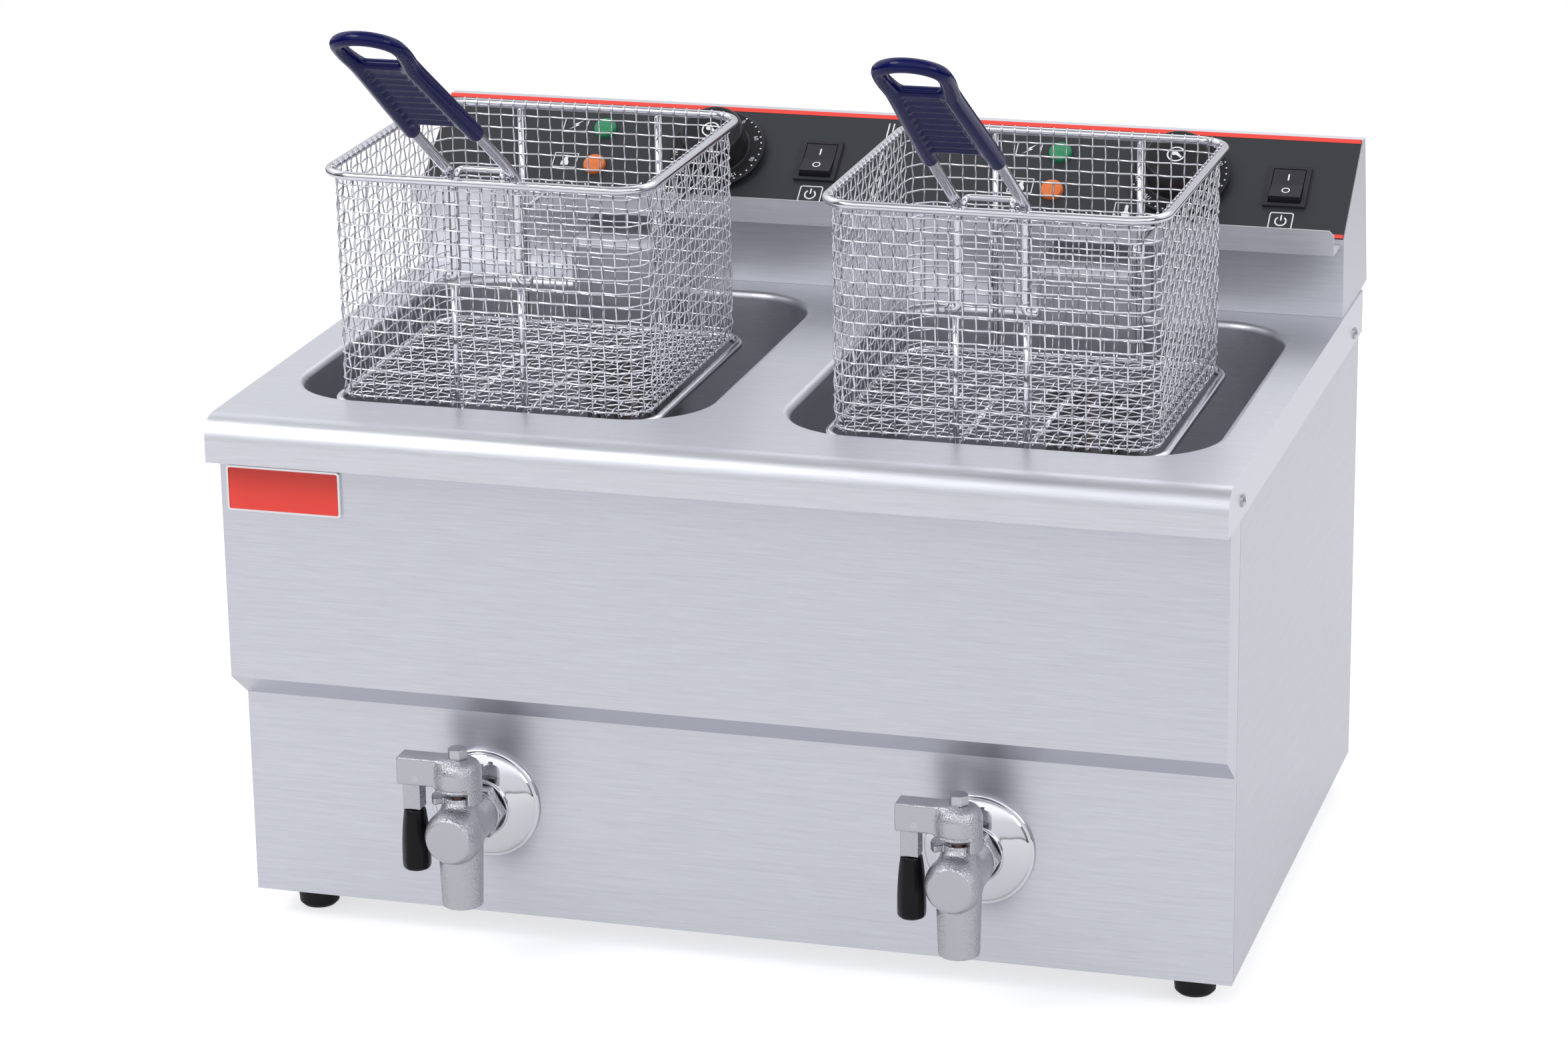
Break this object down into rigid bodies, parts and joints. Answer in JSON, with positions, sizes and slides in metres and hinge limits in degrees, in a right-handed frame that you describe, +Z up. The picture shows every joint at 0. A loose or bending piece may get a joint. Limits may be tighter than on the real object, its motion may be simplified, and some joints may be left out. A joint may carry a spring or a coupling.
{
  "type": "deep fryer",
  "caption": "Countertop electric deep fryer with oil tanks side by side, wire baskets hung on a rear rail, drain taps and a sloped control head.",
  "frame": {"origin": "centre of the bounding box's base, on the surface that the fryer stands on", "axes": "+Z up, -Y towards the user (the taps' side), +X to the user's right"},
  "size_m": [0.584, 0.5454, 0.5645],
  "materials": {
    "body_steel": "horizontally brushed stainless steel",
    "inner_steel": "plain mill-finish stainless steel",
    "tank_steel": "satin stainless steel",
    "element_steel": "dull heat-tinted steel",
    "control_black": "near-black printed panel with white marks",
    "black_plastic": "black moulded plastic",
    "terminal_plastic": "white moulded plastic",
    "green_lens": "faceted green lamp lens",
    "orange_lens": "faceted orange lamp lens",
    "plate_red": "red plate with a silver rim, no lettering",
    "foot_rubber": "black rubber",
    "fasteners": "zinc-plated and stainless fasteners",
    "chrome_plate": "polished chrome",
    "cast_nickel": "nickel plate over rough-cast brass",
    "basket_wire": "bright plated wire",
    "basket_cloth": "plated woven wire cloth",
    "grip_vinyl": "navy-blue dipped vinyl"
  },
  "bodies": {
    "fryer": {"deck": "body_steel", "tank_left": "tank_steel", "tank_right": "tank_steel", "drain_pipes": "tank_steel", "front_panel": "body_steel", "side_panel_left": "body_steel", "side_panel_right": "body_steel", "rear_panel": "inner_steel", "base_plate": "inner_steel", "feet": "foot_rubber", "foot_bolts": "fasteners", "side_screws": "fasteners", "cable_gland": "black_plastic", "nameplate": "plate_red", "head_housing": "body_steel", "head_back_cover": "body_steel", "control_fascia": "control_black", "hanger_rail": "body_steel", "thermostat_left": "element_steel", "thermostat_right": "element_steel", "power_lamps": "green_lens", "heating_lamps": "orange_lens", "switch_bezel_left": "black_plastic", "switch_bezel_right": "black_plastic", "safety_cutouts": "black_plastic", "contactors": "black_plastic", "terminal_block": "terminal_plastic", "element_cover_left": "tank_steel", "element_cover_right": "tank_steel", "element_left": "element_steel", "element_right": "element_steel", "escutcheons": "chrome_plate", "tap_body_left": "cast_nickel", "tap_body_right": "cast_nickel"},
    "left_knob": {"knob_left": "black_plastic", "spindle_left": "fasteners"},
    "left_rocker": {"rocker_left": "black_plastic"},
    "left_lever": {"tap_plug_left": "cast_nickel", "tap_cap_left": "cast_nickel", "tap_bolt_left": "fasteners", "tap_pin_left": "fasteners"},
    "left_lever_handle": {"tap_link_left": "cast_nickel", "tap_grip_left": "black_plastic"},
    "left_basket": {"basket_frame_left": "basket_wire", "basket_mesh_left": "basket_cloth", "handle_wire_left": "basket_wire", "handle_grip_left": "grip_vinyl"},
    "right_knob": {"knob_right": "black_plastic", "spindle_right": "fasteners"},
    "right_rocker": {"rocker_right": "black_plastic"},
    "right_lever": {"tap_plug_right": "cast_nickel", "tap_cap_right": "cast_nickel", "tap_bolt_right": "fasteners", "tap_pin_right": "fasteners"},
    "right_lever_handle": {"tap_link_right": "cast_nickel", "tap_grip_right": "black_plastic"},
    "right_basket": {"basket_frame_right": "basket_wire", "basket_mesh_right": "basket_cloth", "handle_wire_right": "basket_wire", "handle_grip_right": "grip_vinyl"}
  },
  "joints": [
    {"name": "left_knob_turn", "type": "hinge", "parent": "fryer", "child": "left_knob", "pos_m": [-0.1043, 0.21652, 0.38717], "axis": [0, 0.6018, -0.7986], "range_deg": [0, 270]},
    {"name": "left_rocker_tilt", "type": "hinge", "parent": "fryer", "child": "left_rocker", "pos_m": [-0.0394, 0.21688, 0.38337], "axis": [1, 0, 0], "range_deg": [0, 16]},
    {"name": "left_tap_turn", "type": "hinge", "parent": "fryer", "child": "left_lever", "pos_m": [-0.1446, -0.16633, 0.0855], "axis": [0, 0, 1], "range_deg": [0, 90]},
    {"name": "left_lever_lift", "type": "hinge", "parent": "left_lever", "child": "left_lever_handle", "pos_m": [-0.1679, -0.16633, 0.1163], "axis": [0, 1, 0], "range_deg": [0, 90]},
    {"name": "left_basket_lift", "type": "slide", "parent": "fryer", "child": "left_basket", "axis": [0, 0, 1], "range_m": [0, 0.12]},
    {"name": "right_knob_turn", "type": "hinge", "parent": "fryer", "child": "right_knob", "pos_m": [0.1849, 0.21652, 0.38717], "axis": [0, 0.6018, -0.7986], "range_deg": [0, 270]},
    {"name": "right_rocker_tilt", "type": "hinge", "parent": "fryer", "child": "right_rocker", "pos_m": [0.2498, 0.21688, 0.38337], "axis": [1, 0, 0], "range_deg": [0, 16]},
    {"name": "right_tap_turn", "type": "hinge", "parent": "fryer", "child": "right_lever", "pos_m": [0.1446, -0.16633, 0.0855], "axis": [0, 0, 1], "range_deg": [0, 90]},
    {"name": "right_lever_lift", "type": "hinge", "parent": "right_lever", "child": "right_lever_handle", "pos_m": [0.1213, -0.16633, 0.1163], "axis": [0, 1, 0], "range_deg": [0, 90]},
    {"name": "right_basket_lift", "type": "slide", "parent": "fryer", "child": "right_basket", "axis": [0, 0, 1], "range_m": [0, 0.12]}
  ],
  "couplings": [
    {"joint": "left_lever_lift", "follows": "left_tap_turn", "ratio": 1},
    {"joint": "right_lever_lift", "follows": "right_tap_turn", "ratio": 1}
  ]
}
